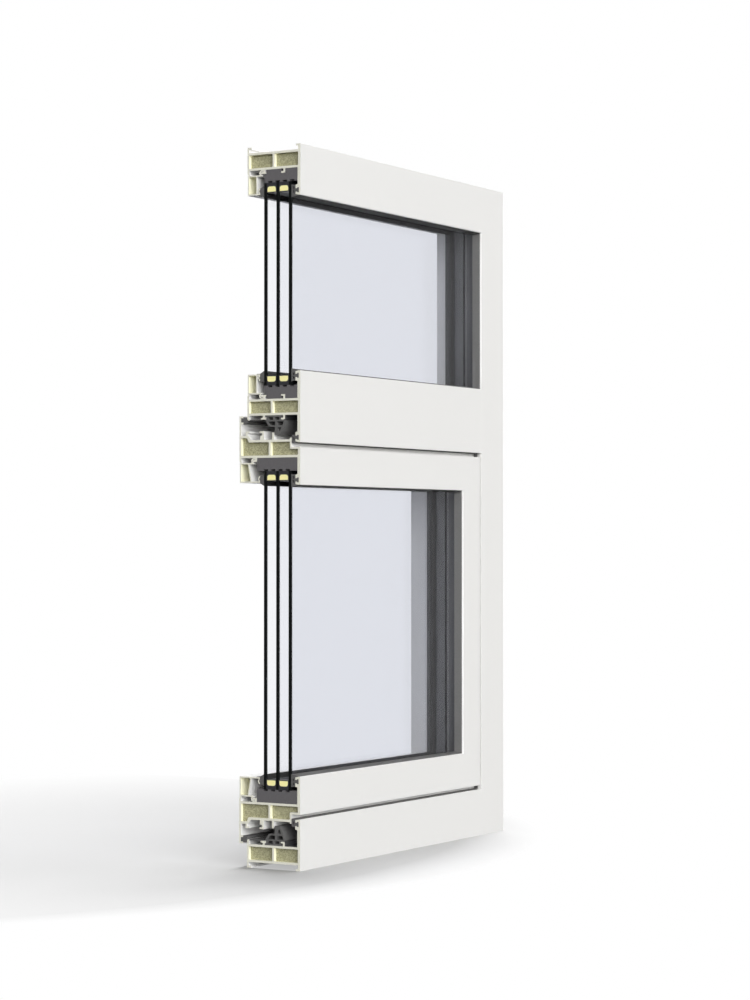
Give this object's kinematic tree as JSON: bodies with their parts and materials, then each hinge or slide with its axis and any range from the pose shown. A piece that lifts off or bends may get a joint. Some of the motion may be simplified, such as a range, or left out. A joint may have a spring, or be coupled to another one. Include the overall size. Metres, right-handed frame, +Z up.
{
  "type": "tilt and turn window sample",
  "caption": "Cut-away window sample: a fixed light over a tilt and turn sash, foam-filled white profiles, triple glazing, gaskets and a multi-chamber centre seal, sawn square at one end.",
  "frame": {"origin": "on the floor under the middle of the sample's box, at the level of the sill's legs", "axes": "+X along the width from the sawn end to the jamb, +Y from outdoors to the room, +Z up"},
  "size_m": [0.55, 0.092, 0.921],
  "materials": {
    "white_profile": "satin white coating on glass-fibre profile",
    "insulating_foam": "sawn olive polyurethane foam",
    "clear_glass": "clear float glass",
    "spacer_filling": "pale yellow filling",
    "black_edge_bond": "matt black",
    "grey_packer": "moulded grey",
    "dark_rubber": "extruded dark grey rubber"
  },
  "bodies": {
    "root": {"centre_seal": "dark_rubber", "cover_strip": "dark_rubber", "fixed_bead_bottom": "white_profile", "fixed_bead_side": "white_profile", "fixed_bead_top": "white_profile", "fixed_edge_seal": "black_edge_bond", "fixed_gasket_inner": "dark_rubber", "fixed_gasket_outer": "dark_rubber", "fixed_packers": "grey_packer", "fixed_pane_inner": "clear_glass", "fixed_pane_middle": "clear_glass", "fixed_pane_outer": "clear_glass", "fixed_spacer_fill": "spacer_filling", "fixed_spacer_inner": "black_edge_bond", "fixed_spacer_outer": "black_edge_bond", "frame_head": "white_profile", "frame_head_foam": "insulating_foam", "frame_jamb": "white_profile", "frame_sill": "white_profile", "frame_sill_foam": "insulating_foam", "overlap_gasket": "dark_rubber", "sash_bead_bottom": "white_profile", "sash_bead_side": "white_profile", "sash_bead_top": "white_profile", "sash_bottom_foam": "insulating_foam", "sash_bottom_rail": "white_profile", "sash_edge_seal": "black_edge_bond", "sash_gasket_inner": "dark_rubber", "sash_gasket_outer": "dark_rubber", "sash_packers": "grey_packer", "sash_pane_inner": "clear_glass", "sash_pane_middle": "clear_glass", "sash_pane_outer": "clear_glass", "sash_spacer_fill": "spacer_filling", "sash_spacer_inner": "black_edge_bond", "sash_spacer_outer": "black_edge_bond", "sash_stile": "white_profile", "sash_top_foam": "insulating_foam", "sash_top_rail": "white_profile", "stop_gasket": "dark_rubber", "transom": "white_profile", "transom_foam": "insulating_foam"}
  },
  "joints": []
}
